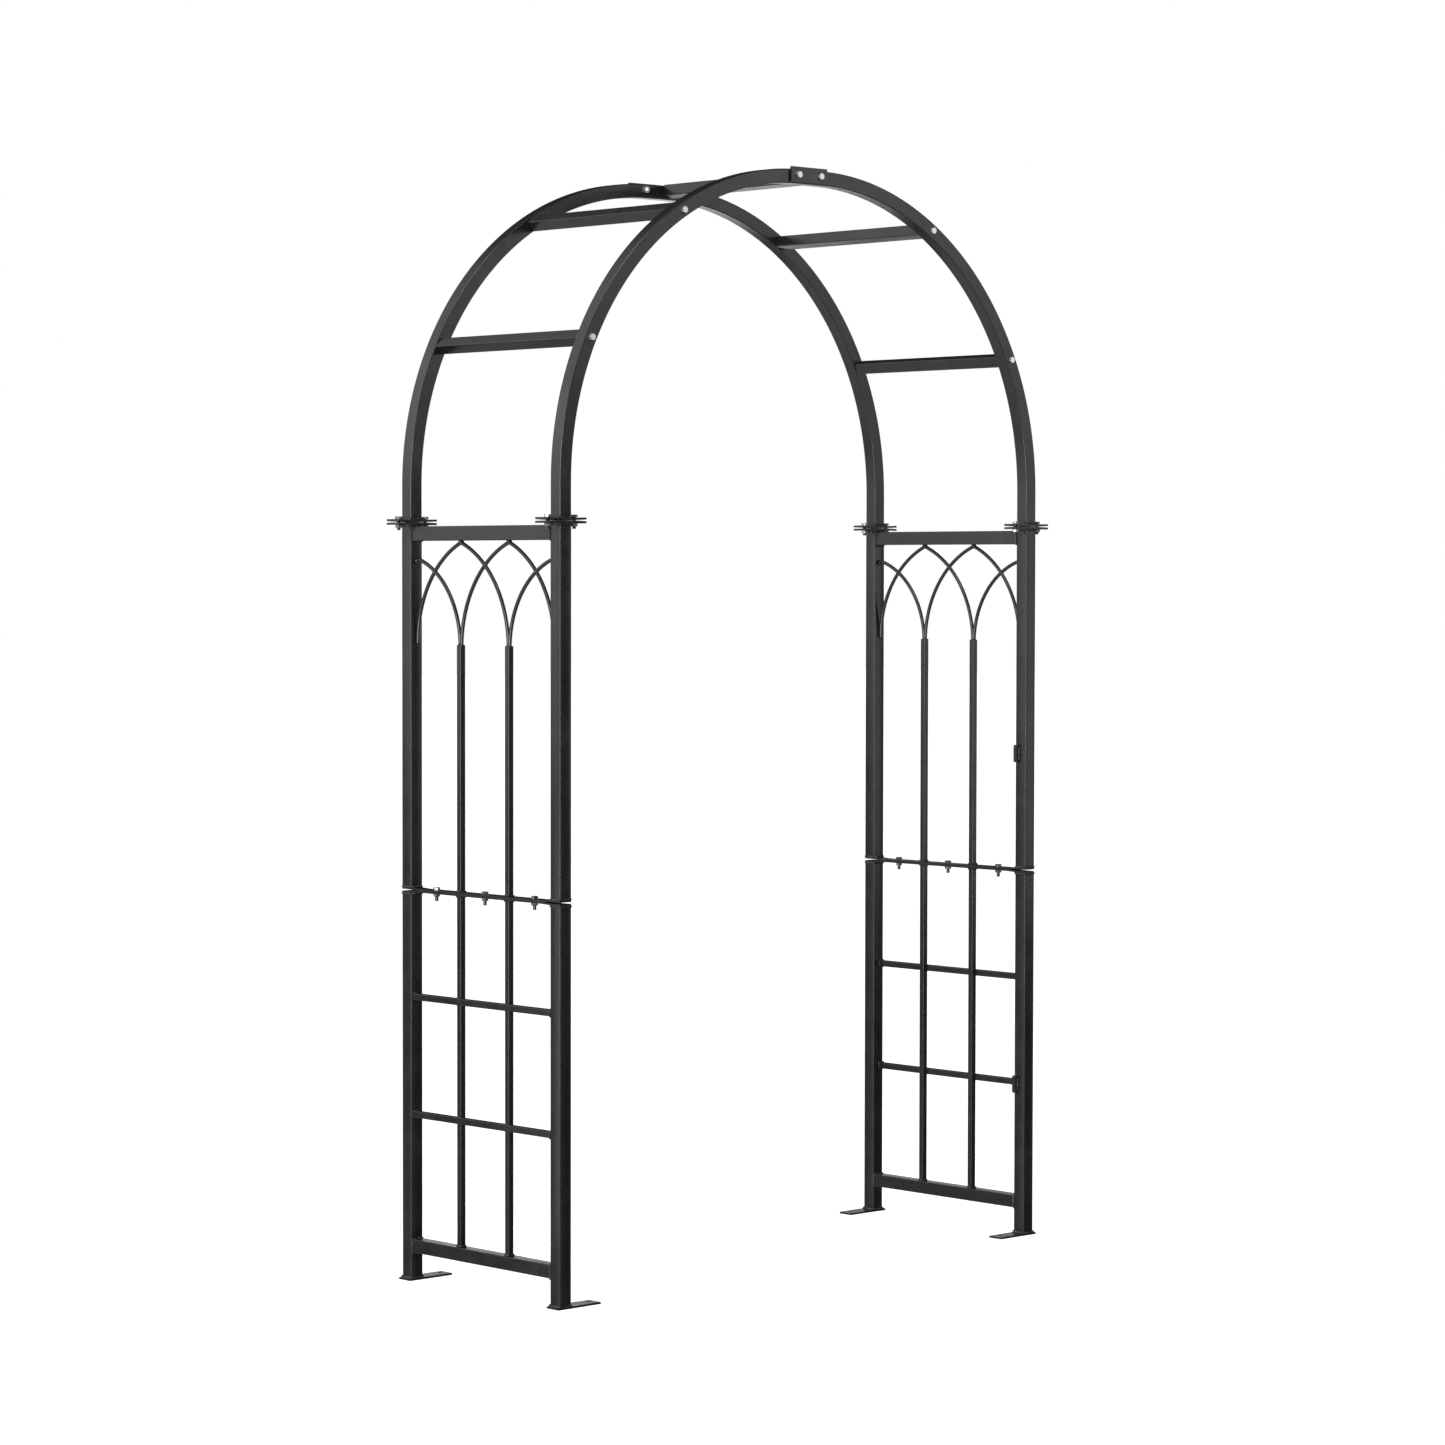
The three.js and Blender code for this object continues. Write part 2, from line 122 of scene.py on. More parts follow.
HALF_SPAN = middle("right_bottom_rail").x
HALF_DEPTH = (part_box("right_top_rail")[1].y + GAP) + TUBE / 2
MID_Z = (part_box("left_front_upper_post")[0].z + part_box("left_front_lower_post")[1].z) / 2
JOINT_Z = (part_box("left_front_upper_post")[1].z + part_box("front_hoop_left_quarter")[0].z) / 2
CROWN_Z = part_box("back_hoop_left_quarter")[1].z - TUBE / 2
ARC_CENTRE_Z = CROWN_Z - ARC_RADIUS
CROWN_STRAIGHT = HALF_SPAN - ARC_RADIUS
INNER_Y = HALF_DEPTH - TUBE / 2 - GAP  # end of a piece welded between two posts


# ---- Shells ----
class Shape:
    """Closed shells gathered into one mesh."""

    def __init__(self):
        self.points = []
        self.faces = []

    def loft(self, rings, closed=False):
        """Joins rings of equal length. An open loft is capped at both ends."""
        start = len(self.points)
        count = len(rings[0])
        for ring in rings:
            self.points += [tuple(point) for point in ring]
        spans = len(rings) if closed else len(rings) - 1
        for i in range(spans):
            near = start + i * count
            far = start + (i + 1) % len(rings) * count
            for j in range(count):
                k = (j + 1) % count
                self.faces.append((near + j, near + k, far + k, far + j))
        if not closed:
            self.faces.append(tuple(start + j for j in reversed(range(count))))
            self.faces.append(tuple(start + (len(rings) - 1) * count + j for j in range(count)))


def rounded_rectangle(width, height, radius, steps=4):
    """Outline as (u, v) pairs, anticlockwise, with `steps` spans round each corner."""
    outline = []
    corners = ((1, 1, 0), (-1, 1, 90), (-1, -1, 180), (1, -1, 270))
    for su, sv, first in corners:
        for i in range(steps + 1):
            a = math.radians(first + 90 * i / steps)
            u = su * (width / 2 - radius) + radius * math.cos(a)
            v = sv * (height / 2 - radius) + radius * math.sin(a)
            outline.append((u, v))
    return outline


def circle(diameter, sides):
    turns = [2 * math.pi * i / sides for i in range(sides)]
    return [(diameter / 2 * math.cos(a), diameter / 2 * math.sin(a)) for a in turns]


def ring_at(point, u_axis, v_axis, outline):
    return [point + u_axis * u + v_axis * v for u, v in outline]


def directions(path, closed=False):
    """Unit tangent at each point of a path."""
    found = []
    last = len(path) - 1
    for i in range(len(path)):
        before = path[i - 1] if i or closed else path[0]
        after = path[(i + 1) % len(path)] if i < last or closed else path[last]
        found.append((after - before).normalized())
    return found


def sweep(shape, path, u_axis, outline, inset=None, edge=0.0):
    """Runs an outline along a path that stays square to u_axis. With `inset`, both ends are bevelled."""
    tangents = directions(path)
    frames = [(point, u_axis, tangent.cross(u_axis)) for point, tangent in zip(path, tangents)]
    rings = [ring_at(*place, outline) for place in frames]
    if inset:
        for end, sign in ((0, 1), (-1, -1)):
            point, u, v = frames[end]
            rings[end] = ring_at(point + tangents[end] * sign * edge, u, v, outline)
        rings.insert(0, ring_at(*frames[0], inset))
        rings.append(ring_at(*frames[-1], inset))
    shape.loft(rings)


def square_tube(shape, path, u_axis, size, corner, edge=0.0004):
    outline = rounded_rectangle(size, size, corner)
    inset = rounded_rectangle(size - 2 * edge, size - 2 * edge, max(corner - edge, corner / 4))
    sweep(shape, path, u_axis, outline, inset, edge)


def strip(shape, path, u_axis, width, thick):
    """A flat bar, bent along a path."""
    outline = rounded_rectangle(width, thick, PLATE_EDGE, 3)
    inset = rounded_rectangle(width - 2 * PLATE_EDGE, thick - 2 * PLATE_EDGE, PLATE_EDGE / 2, 3)
    sweep(shape, path, u_axis, outline, inset, PLATE_EDGE)


def eased(profile, steps=5, reach=0.006):
    """Rounds each bend of a strip's (along, rise) profile."""
    points = [profile[0]]
    for before, bend, after in zip(profile, profile[1:], profile[2:]):
        a = toward(bend, before, reach)
        b = toward(bend, after, reach)
        for i in range(steps + 1):
            t = i / steps
            weights = ((1 - t) ** 2, 2 * t * (1 - t), t * t)
            points.append(tuple(sum(w * p[k] for w, p in zip(weights, (a, bend, b))) for k in (0, 1)))
    points.append(profile[-1])
    return points


def toward(start, end, distance):
    length = math.dist(start, end)
    share = min(0.5, distance / length)
    return tuple(s + (e - s) * share for s, e in zip(start, end))


# ---- Welds ----
def resampled(path, spacing, closed):
    """The path's points spaced evenly."""
    points = list(path) + ([path[0]] if closed else [])
    lengths = [0.0]
    for a, b in zip(points, points[1:]):
        lengths.append(lengths[-1] + (b - a).length)
    count = max(4, round(lengths[-1] / spacing))
    found = []
    span = 0
    for i in range(count if closed else count + 1):
        target = lengths[-1] * i / count
        while span < len(lengths) - 2 and lengths[span + 1] < target:
            span += 1
        share = (target - lengths[span]) / max(lengths[span + 1] - lengths[span], 1e-9)
        found.append(points[span].lerp(points[span + 1], share))
    return found


WELD_RIPPLE = 0.0032  # along the bead, from one puddle to the next
WELD_SIDES = 8


def weld(shape, path, up, radius, seed, closed=False):
    """A lumpy bead along a path: overlapping puddles, uneven in width and height."""
    draw = random.Random(seed)
    spacing = WELD_RIPPLE / 4
    points = resampled(path, spacing, closed)
    tangents = directions(points, closed)
    phases = [draw.uniform(0, 2 * math.pi) for _ in range(3)]
    rings = []
    for i, (point, tangent) in enumerate(zip(points, tangents)):
        along = i * spacing
        puddle = 0.90 + 0.16 * abs(math.sin(math.pi * along / WELD_RIPPLE + phases[0]))
        drift = 1 + 0.12 * math.sin(along * 210 + phases[1]) + 0.08 * math.sin(along * 470 + phases[2])
        size = radius * puddle * drift * draw.uniform(0.94, 1.06)
        if not closed:
            size *= min(1.0, 0.35 + 0.65 * min(i, len(points) - 1 - i) / 2)
        side = tangent.cross(up).normalized()
        top = side.cross(tangent)
        shift = side * draw.uniform(-0.06, 0.06) * radius
        rings.append(ring_at(point + shift, side, top, circle(2 * size, WELD_SIDES)))
    shape.loft(rings, closed)


def weld_spot(shape, centre, radius, seed, flat=Z, squash=0.7):
    """A single weld puddle, flattened along one axis."""
    draw = random.Random(seed)
    u = flat.orthogonal().normalized()
    v = flat.cross(u)
    sides, levels = 12, 7
    lumps = [draw.uniform(0.88, 1.12) for _ in range(sides)]
    rings = []
    for level in range(levels):
        a = math.radians(-84 + 168 * level / (levels - 1))
        outline = [
            (radius * lump * math.cos(a) * math.cos(b), radius * lump * math.cos(a) * math.sin(b))
            for lump, b in ((lumps[j], 2 * math.pi * j / sides) for j in range(sides))
        ]
        rings.append(ring_at(centre + flat * radius * squash * math.sin(a), u, v, outline))
    shape.loft(rings)


def collar(shape, kind, point, away, sides, size, seed, beyond=0.0):
    """A weld right round the end of a square tube, on the face that lies `beyond` the point."""
    radius, lift, wider = COLLARS[kind]
    outline = rounded_rectangle(size + wider, size + wider, COLLAR_CORNER, 3)
    path = ring_at(point + away * (beyond + lift), *sides, outline)
    weld(shape, path, sides[0].cross(sides[1]), radius, seed, closed=True)


# ---- Pieces ----
materials = {}


def add_piece(node, shape, material, smooth_angle=40, crowned=False):
    """Turns a shape into the piece that stands for a CAD node.

    `crowned` lets the flat faces shade as if they were slightly rounded.
    """
    name = f"{node}_detail"
    mesh = bpy.data.meshes.new(name)
    mesh.from_pydata(shape.points, [], shape.faces)
    mesh.validate()
    mesh.shade_smooth()
    mesh.set_sharp_from_angle(angle=math.radians(smooth_angle))
    piece = bpy.data.objects.new(name, mesh)
    bpy.context.scene.collection.objects.link(piece)
    mesh.materials.append(materials[material])
    if not crowned:
        normals = piece.modifiers.new("weighted_normals", "WEIGHTED_NORMAL")
        normals.keep_sharp = True
    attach(piece, "root")
    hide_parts(node)


# ---- Materials ----
def node_material(name):
    material = bpy.data.materials.new(name)
    material.use_nodes = True
    tree = material.node_tree
    return material, tree, tree.nodes["Principled BSDF"]


def noise(tree, scale, detail=3.0, roughness=0.5):
    """Noise in the object's own metres."""
    place = tree.nodes.new("ShaderNodeTexCoord")
    texture = tree.nodes.new("ShaderNodeTexNoise")
    texture.inputs["Scale"].default_value = scale
    texture.inputs["Detail"].default_value = detail
    texture.inputs["Roughness"].default_value = roughness
    tree.links.new(place.outputs["Object"], texture.inputs["Vector"])
    return texture.outputs["Fac"]


def colour_ramp(tree, source, stops):
    ramp = tree.nodes.new("ShaderNodeValToRGB")
    elements = ramp.color_ramp.elements
    while len(elements) < len(stops):
        elements.new(0.5)
    for element, (place, colour) in zip(elements, stops):
        element.position = place
        element.color = (*colour, 1)
    tree.links.new(source, ramp.inputs["Fac"])
    return ramp.outputs["Color"]


def value_range(tree, source, low, high, new_low, new_high):
    node = tree.nodes.new("ShaderNodeMapRange")
    for key, value in (("From Min", low), ("From Max", high), ("To Min", new_low), ("To Max", new_high)):
        node.inputs[key].default_value = value
    tree.links.new(source, node.inputs["Value"])
    return node.outputs["Result"]


def bump(tree, layers):
    """Stacks (height, strength, distance) layers and returns the last normal."""
    normal = None
    for height, strength, distance in layers:
        node = tree.nodes.new("ShaderNodeBump")
        node.inputs["Strength"].default_value = strength
        node.inputs["Distance"].default_value = distance
        tree.links.new(height, node.inputs["Height"])
        if normal:
            tree.links.new(normal, node.inputs["Normal"])
        normal = node.outputs["Normal"]
    return normal


def powder_coat():
    """Satin black powder coat: faint orange peel, uneven gloss and slightly uneven black."""
    material, tree, shader = node_material("powder_coat")
    cloudy = noise(tree, 9, 4)
    fine = noise(tree, 420, 2)
    stops = (
        (0.30, (0.0042, 0.0044, 0.0048)),
        (0.55, (0.0060, 0.0062, 0.0066)),
        (0.78, (0.0100, 0.0102, 0.0105)),
    )
    tree.links.new(colour_ramp(tree, cloudy, stops), shader.inputs["Base Color"])
    gloss = value_range(tree, noise(tree, 26, 5, 0.65), 0.3, 0.7, 0.18, 0.30)
    tree.links.new(gloss, shader.inputs["Roughness"])
    layers = ((noise(tree, 60, 2), 0.20, 0.0005), (fine, 0.20, 0.0002))
    tree.links.new(bump(tree, layers), shader.inputs["Normal"])
    shader.inputs["IOR"].default_value = 1.5
    return material


def zinc(name, dark, light, rough_low, rough_high):
    """Zinc plate: metallic, slightly cloudy, with fine tool marks."""
    material, tree, shader = node_material(name)
    shader.inputs["Metallic"].default_value = 1.0
    stops = ((0.32, dark), (0.68, light))
    tree.links.new(colour_ramp(tree, noise(tree, 240, 4, 0.6), stops), shader.inputs["Base Color"])
    gloss = value_range(tree, noise(tree, 520, 3), 0.3, 0.7, rough_low, rough_high)
    tree.links.new(gloss, shader.inputs["Roughness"])
    layers = ((noise(tree, 900, 2), 0.2, 0.0001),)
    tree.links.new(bump(tree, layers), shader.inputs["Normal"])
    return material


materials["powder_coat"] = powder_coat()
materials["bright_zinc"] = zinc("bright_zinc", (0.74, 0.75, 0.76), (0.90, 0.905, 0.91), 0.34, 0.52)
# A darker copy of the same zinc, with shade painted into its colour, for the bolts that sit in shade.
materials["painted_shade_zinc"] = zinc("painted_shade_zinc", (0.08, 0.085, 0.09), (0.30, 0.31, 0.32), 0.25, 0.45)


# ---- Side panels ----
def seed_for(*words):
    """The same seed each run for the same words."""
    return "/".join(str(word) for word in words)


def flange_plate(shape, centre, up):
    """Plate on the joint plane, its tips sprung away from its partner."""
    tip, post = FLANGE["length"] / 2 - TIP_TURN, TUBE / 2
    half = FLANGE["thick"] / 2 + GAP / 2
    profile = [(-tip, FLANGE["spread"]), (-post, 0), (post, 0), (tip, FLANGE["spread"])]
    path = [centre + X * along + Z * up * (rise + half) for along, rise in eased(profile)]
    strip(shape, path, Y, FLANGE["width"], FLANGE["thick"])


def flange_weld(shape, centre, up, seed):
    collar(shape, "flange", centre, Z * up, (X, Y), TUBE, seed, FLANGE["thick"] + GAP / 2)


def upper_post(side, end):
    node = f"{side}_{end}_upper_post"
    centre = middle(node)
    shape = Shape()
    bottom = Vector((centre.x, centre.y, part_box(node)[0].z))
    joint = Vector((centre.x, centre.y, JOINT_Z))
    top = joint - Z * (GAP / 2 + FLANGE["thick"] - SUNK)
    square_tube(shape, [bottom, top], X, TUBE, POST_CORNER)
    flange_plate(shape, joint, -1)
    flange_weld(shape, joint, -1, seed_for(node))
    mid_joint_weld(shape, bottom, ENDS[end], 1, node)
    add_piece(node, shape, "powder_coat", crowned=True)


def mid_joint_weld(shape, foot, sy, up, node):
    """Weld between a post and its flat bar: thin all round, with a full bead inside the bay."""
    collar(shape, "mid_joint", foot, Z * up, (X, Y), TUBE, seed_for(node, "round"))
    inner = foot - Y * sy * (TUBE / 2 + BAY_BEAD["off_post"]) + Z * up * BAY_BEAD["off_bar"]
    reach = X * BAY_BEAD["reach"]
    weld(shape, [inner - reach, inner + reach], Z, BEAD["bay"], seed_for(node, "bay"))


FOOT_BEVEL = 0.0004  # on the plate's underside


def foot_plate(shape, low, high, hole_x, y):
    """Plate with a round hole: one profile turned about the hole, out to the plate's edge."""
    radius = FOOT["hole"] / 2
    corner_angles = []
    for cx in (low.x, high.x):
        for cy in (low.y, high.y):
            corner_angles.append(math.atan2(cy - y, cx - hole_x) % (2 * math.pi))
    even_angles = [2 * math.pi * i / 48 for i in range(48)]
    angles = sorted({round(a, 6) for a in even_angles + corner_angles})
    rings = []
    for a in angles:
        c, s = math.cos(a), math.sin(a)
        reach_x = ((high.x if c > 0 else low.x) - hole_x) / c if abs(c) > 1e-6 else 1e9
        reach_y = ((high.y if s > 0 else low.y) - y) / s if abs(s) > 1e-6 else 1e9
        edge = min(reach_x, reach_y)
        profile = (
            (radius + FOOT_BEVEL, low.z),
            (edge - FOOT_BEVEL, low.z),
            (edge, low.z + FOOT_BEVEL),
            (edge, high.z - PLATE_EDGE),
            (edge - PLATE_EDGE, high.z),
            (radius + PLATE_EDGE, high.z),
            (radius, high.z - PLATE_EDGE),
            (radius, low.z + FOOT_BEVEL),
        )
        rings.append([Vector((hole_x + c * r, y + s * r, z)) for r, z in profile])
    shape.loft(rings, closed=True)


def lower_post(side, end):
    node = f"{side}_{end}_lower_post"
    low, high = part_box(node)
    sx = SIDES[side]
    y = middle(node).y
    x = sx * HALF_SPAN
    shape = Shape()
    plate_top = Vector((high.x, high.y, low.z + FOOT["thick"]))
    foot_plate(shape, low, plate_top, x - sx * FOOT["hole_from_post"], y)
    base = Vector((x, y, low.z + FOOT["thick"]))
    top = Vector((x, y, high.z))
    square_tube(shape, [base - Z * SUNK, top], X, TUBE, POST_CORNER)
    collar(shape, "foot", base, Z, (X, Y), TUBE, seed_for(node))
    mid_joint_weld(shape, top, ENDS[end], -1, node)
    add_piece(node, shape, "powder_coat", crowned=True)


def rail(node, size, corner):
    low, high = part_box(node)
    centre = middle(node)
    ends = [Vector((centre.x, low.y, centre.z)), Vector((centre.x, high.y, centre.z))]
    shape = Shape()
    square_tube(shape, ends, X, size, corner)
    for s, point in zip((1, -1), ends):
        collar(shape, "rail", point, Y * s, (X, Z), size, seed_for(node, s))
    add_piece(node, shape, "powder_coat")


def flat_bar(side, level, up):
    """Closed up in the middle, sprung apart under the posts."""
    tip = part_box(f"{side}_{level}_flat_bar")[1].y - TIP_TURN
    spread = FLAT["spread"]
    half = [(FLAT["closed_to"], 0), (FLAT["level_from"], spread), (tip, spread)]
    profile = [(-along, rise) for along, rise in reversed(half)] + half
    rise_to_middle = GAP / 2 + FLAT["thick"] / 2
    centre = Vector((SIDES[side] * HALF_SPAN, 0, MID_Z))
    path = [centre + Y * along + Z * up * (rise + rise_to_middle) for along, rise in eased(profile)]
    shape = Shape()
    strip(shape, path, X, FLAT["width"], FLAT["thick"])
    add_piece(f"{side}_{level}_flat_bar", shape, "powder_coat")


def arc_points(start, end, steps=20):
    """Points in the YZ plane of an arc that leaves `start` straight up and bends round to `end`."""
    across = end[0] - start[0]
    rise = end[1] - start[1]
    radius = (across * across + rise * rise) / (2 * abs(across))
    towards = math.copysign(1, across)
    sweep_angle = math.asin(rise / radius)
    found = []
    for i in range(steps + 1):
        a = sweep_angle * i / steps
        found.append((start[0] + towards * radius * (1 - math.cos(a)), start[1] + radius * math.sin(a)))
    return found


def rod(shape, x, start, end):
    path = [Vector((x, y, z)) for y, z in arc_points(start, end)]
    sweep(shape, path, X, circle(ROD, 16))


def upright(shape, x, y, low, high):
    square_tube(shape, [Vector((x, y, low)), Vector((x, y, high))], X, BAR, BAR_CORNER)


def bar_ends_weld(shape, centre, up, seed):
    """Weld round an upright where it stands on, or hangs from, a rail or flat bar."""
    collar(shape, "upright", centre, Z * up, (X, Y), BAR, seed)


def upper_lattice(side):
    node = f"{side}_upper_lattice"
    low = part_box(node)[0]
    x = middle(node).x
    shape = Shape()
    post = INNER_Y - ROD / 2
    for s in (-1, 1):
        upright(shape, x, s * UPRIGHT_Y, low.z, UPRIGHT_TOP)
        bar_ends_weld(shape, Vector((x, s * UPRIGHT_Y, low.z)), 1, seed_for(node, s))
        rod(shape, x, (s * (UPRIGHT_Y + ROD_SPREAD), SPRING_Z), (s * post, POST_ROD_END))
        rod(shape, x, (s * (UPRIGHT_Y - ROD_SPREAD), SPRING_Z), (-s * UPRIGHT_Y, APEX_Z))
        rod(shape, x, (s * post, POST_ROD_START), (s * UPRIGHT_Y, APEX_Z))
        # Puddles where the rods grow out of the upright, meet at the top rail and run down the post.
        weld_spot(shape, Vector((x, s * UPRIGHT_Y, UPRIGHT_TOP)), SPOT["top"], seed_for(node, s, "top"))
        apex = Vector((x, s * UPRIGHT_Y, APEX_Z + 0.001))
        weld_spot(shape, apex, SPOT["apex"], seed_for(node, s, "apex"))
        post_face = s * (INNER_Y - 0.002)
        rod_end = Vector((x, post_face, POST_ROD_END - 0.004))
        weld_spot(shape, rod_end, SPOT["post"], seed_for(node, s, "post"), Y)
        line = [Vector((x, post_face, POST_ROD_START + along)) for along in POST_ROD_BEAD]
        weld(shape, line, X, BEAD["post_rod"], seed_for(node, s, "line"))
    add_piece(node, shape, "powder_coat")


def lower_lattice(side):
    """Two uprights, and two cross bars that run over their outer faces."""
    node = f"{side}_lower_lattice"
    low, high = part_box(node)
    sx = SIDES[side]
    x = sx * HALF_SPAN
    cross_x = sx * (HALF_SPAN + TUBE / 2 - CROSS_BAR / 2)
    shape = Shape()
    for s in (-1, 1):
        y = s * UPRIGHT_Y
        upright(shape, x, y, low.z, high.z)
        bar_ends_weld(shape, Vector((x, y, low.z)), 1, seed_for(node, s, "low"))
        bar_ends_weld(shape, Vector((x, y, high.z)), -1, seed_for(node, s, "high"))
    for z in CROSS_BAR_Z[side]:
        ends = [Vector((cross_x, low.y, z)), Vector((cross_x, high.y, z))]
        square_tube(shape, ends, X, CROSS_BAR, BAR_CORNER)
        for s, point in zip((1, -1), ends):
            collar(shape, "cross_bar", point, Y * s, (X, Z), CROSS_BAR, seed_for(node, z, s))
        for s in (-1, 1):
            for up in (-1, 1):
                joint = Vector((x + sx * BAR / 2, s * UPRIGHT_Y, z + up * CROSS_BAR / 2))
                line = [joint - Y * BAR * CROSSING_REACH, joint + Y * BAR * CROSSING_REACH]
                weld(shape, line, Z, BEAD["crossing"], seed_for(node, z, s, up))
    add_piece(node, shape, "powder_coat")


# ---- Gate lugs ----
LUG = {"corner": 0.0012, "face_corner": 0.001, "bevel": 0.0015}
LUG_FACE_IN = (0.0016, 0.0030)  # how much smaller its bevelled face is, across and up
LUG_BEAD = {"reach": 0.016, "in": 0.0006, "off": 0.0004}


def gate_lug(level):
    node = f"gate_lug_{level}"
    low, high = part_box(node)
    centre = middle(node)
    size = high - low
    shape = Shape()
    outline = rounded_rectangle(size.y, size.z, LUG["corner"], 3)
    inset = rounded_rectangle(size.y - LUG_FACE_IN[0], size.z - LUG_FACE_IN[1], LUG["face_corner"], 3)
    rings = []
    for x, section in ((high.x, outline), (low.x + LUG["bevel"], outline), (low.x, inset)):
        rings.append(ring_at(Vector((x, centre.y, centre.z)), Y, Z, section))
    shape.loft(list(reversed(rings)))
    root = high.x - LUG_BEAD["in"]
    for up in (-1, 1):
        spot = Vector((root, centre.y, centre.z + up * (size.z / 2 + LUG_BEAD["off"])))
        weld_spot(shape, spot, SPOT["lug"], seed_for(node, up), X, 0.6)
    for s in (-1, 1):
        base = Vector((root, centre.y + s * size.y / 2, centre.z))
        if s > 0:
            base.y -= LUG_BEAD["in"]
        line = [base - Z * LUG_BEAD["reach"], base + Z * LUG_BEAD["reach"]]
        weld(shape, line, X, BEAD["lug"], seed_for(node, "line", s))
    add_piece(node, shape, "powder_coat")


# ---- Overhead arch ----
def quarter_hoop(side, end):
    node = f"{end}_hoop_{side}_quarter"
    low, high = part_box(node)
    sx = SIDES[side]
    y = ENDS[end] * HALF_DEPTH
    crown_end = high.x if side == "left" else low.x
    joint = Vector((sx * HALF_SPAN, y, JOINT_Z))
    foot = joint + Z * (GAP / 2 + FLANGE["thick"] - SUNK)
    path = [foot]
    steps = 56
    for i in range(steps + 1):
        a = math.radians(90 * i / steps)
        x = sx * (CROWN_STRAIGHT + ARC_RADIUS * math.cos(a))
        path.append(Vector((x, y, ARC_CENTRE_Z + ARC_RADIUS * math.sin(a))))
    path.append(Vector((crown_end, y, CROWN_Z)))
    shape = Shape()
    square_tube(shape, path, Y, TUBE, HOOP_CORNER)
    flange_plate(shape, joint, 1)
    flange_weld(shape, joint, 1, seed_for(node))
    add_piece(node, shape, "powder_coat")


def splice_plate(end):
    node = f"{end}_splice_plate"
    low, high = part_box(node)
    centre = middle(node)
    size = high - low
    outline = rounded_rectangle(size.x, size.z, 0.0018, 4)
    inset = rounded_rectangle(size.x - 2 * PLATE_EDGE, size.z - 2 * PLATE_EDGE, 0.0013, 4)
    edges = ((low.y, inset), (low.y + PLATE_EDGE, outline), (high.y - PLATE_EDGE, outline), (high.y, inset))
    rings = []
    for y, section in edges:
        rings.append(ring_at(Vector((centre.x, y, centre.z)), X, Z, section))
    shape = Shape()
    shape.loft(list(reversed(rings)))
    add_piece(node, shape, "powder_coat")


def crossbar(place, turn):
    node = f"crossbar_{place}"
    low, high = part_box(node)
    centre = middle(node)
    a = math.radians(turn)
    u_axis = Vector((math.cos(a), 0, -math.sin(a)))
    shape = Shape()
    ends = [Vector((centre.x, low.y, centre.z)), Vector((centre.x, high.y, centre.z))]
    square_tube(shape, ends, u_axis, CROSSBAR, CROSSBAR_CORNER)
    add_piece(node, shape, "powder_coat")


# ---- Fasteners ----
HEX_STEPS = 8  # points along each flat
HEX_CORNER = 1.135  # width over worn corners; sharp ones would be 1.155 times the flats
HEX_FACE = 0.95  # width of the round end face
HEX_CAP = 0.9  # of the face: innermost ring of the underside
CHAMFER = math.tan(math.radians(30))
WASHER_FACE = (0.0003, 0.00035)  # heights under a head where the round step ends and the flats begin
HEAD_DISH = {"rim": 0.80, "floor": 0.72, "deep": 0.00022}
THREAD_SUNK = 0.0002


def hexagon(across_flats, turn):
    """Points of a hexagon with slightly worn corners, as (angle, radius)."""
    found = []
    for i in range(6 * HEX_STEPS):
        a = 2 * math.pi * i / (6 * HEX_STEPS)
        off_flat = (a + math.pi / 6) % (math.pi / 3) - math.pi / 6
        radius = min(across_flats / 2 / math.cos(off_flat), across_flats / 2 * HEX_CORNER)
        found.append((a + turn, radius))
    return found


def hex_body(shape, base, axis, height, across_flats, turn, both):
    """A hexagon head or nut from `base` along `axis`, chamfered at the far end, or at both for a nut."""
    u = axis.orthogonal().normalized()
    v = axis.cross(u)
    corners = hexagon(across_flats, turn)
    face = across_flats / 2 * HEX_FACE

    def ring(radius_of, height_of):
        return [
            base + axis * height_of(r) + (u * math.cos(a) + v * math.sin(a)) * radius_of(r)
            for a, r in corners
        ]

    rings = [ring(lambda r: face * HEX_CAP, lambda r: 0.0)]
    rings.append(ring(lambda r: face, lambda r: 0.0))
    if both:
        rings.append(ring(lambda r: r, lambda r: (r - face) * CHAMFER))
    else:
        rings.append(ring(lambda r: face, lambda r: WASHER_FACE[0]))
        rings.append(ring(lambda r: r, lambda r: WASHER_FACE[1]))
    rings.append(ring(lambda r: r, lambda r: height - (r - face) * CHAMFER))
    rings.append(ring(lambda r: face, lambda r: height))
    if not both:
        rings.append(ring(lambda r: face * HEAD_DISH["rim"], lambda r: height))
        rings.append(ring(lambda r: face * HEAD_DISH["floor"], lambda r: height - HEAD_DISH["deep"]))
    shape.loft(rings)


def thread(shape, start, axis, length, tip=0.0008):
    """Threaded end of a bolt: a helical ridge, with a chamfered tip."""
    u = axis.orthogonal().normalized()
    v = axis.cross(u)
    pitch, outer = BOLT["pitch"], BOLT["shank"] / 2
    depth = pitch * 0.5
    sides = 24
    levels = max(2, math.ceil(length / pitch * 4))
    rings = []
    for i in range(levels + 1):
        along = length * i / levels
        ring = []
        for j in range(sides):
            a = 2 * math.pi * j / sides
            phase = (along / pitch - j / sides) % 1
            radius = outer - depth * abs(2 * phase - 1)
            radius = min(radius, outer - tip + max(0.0, length - along))
            ring.append(start + axis * along + (u * math.cos(a) + v * math.sin(a)) * radius)
        rings.append(ring)
    shape.loft(rings)


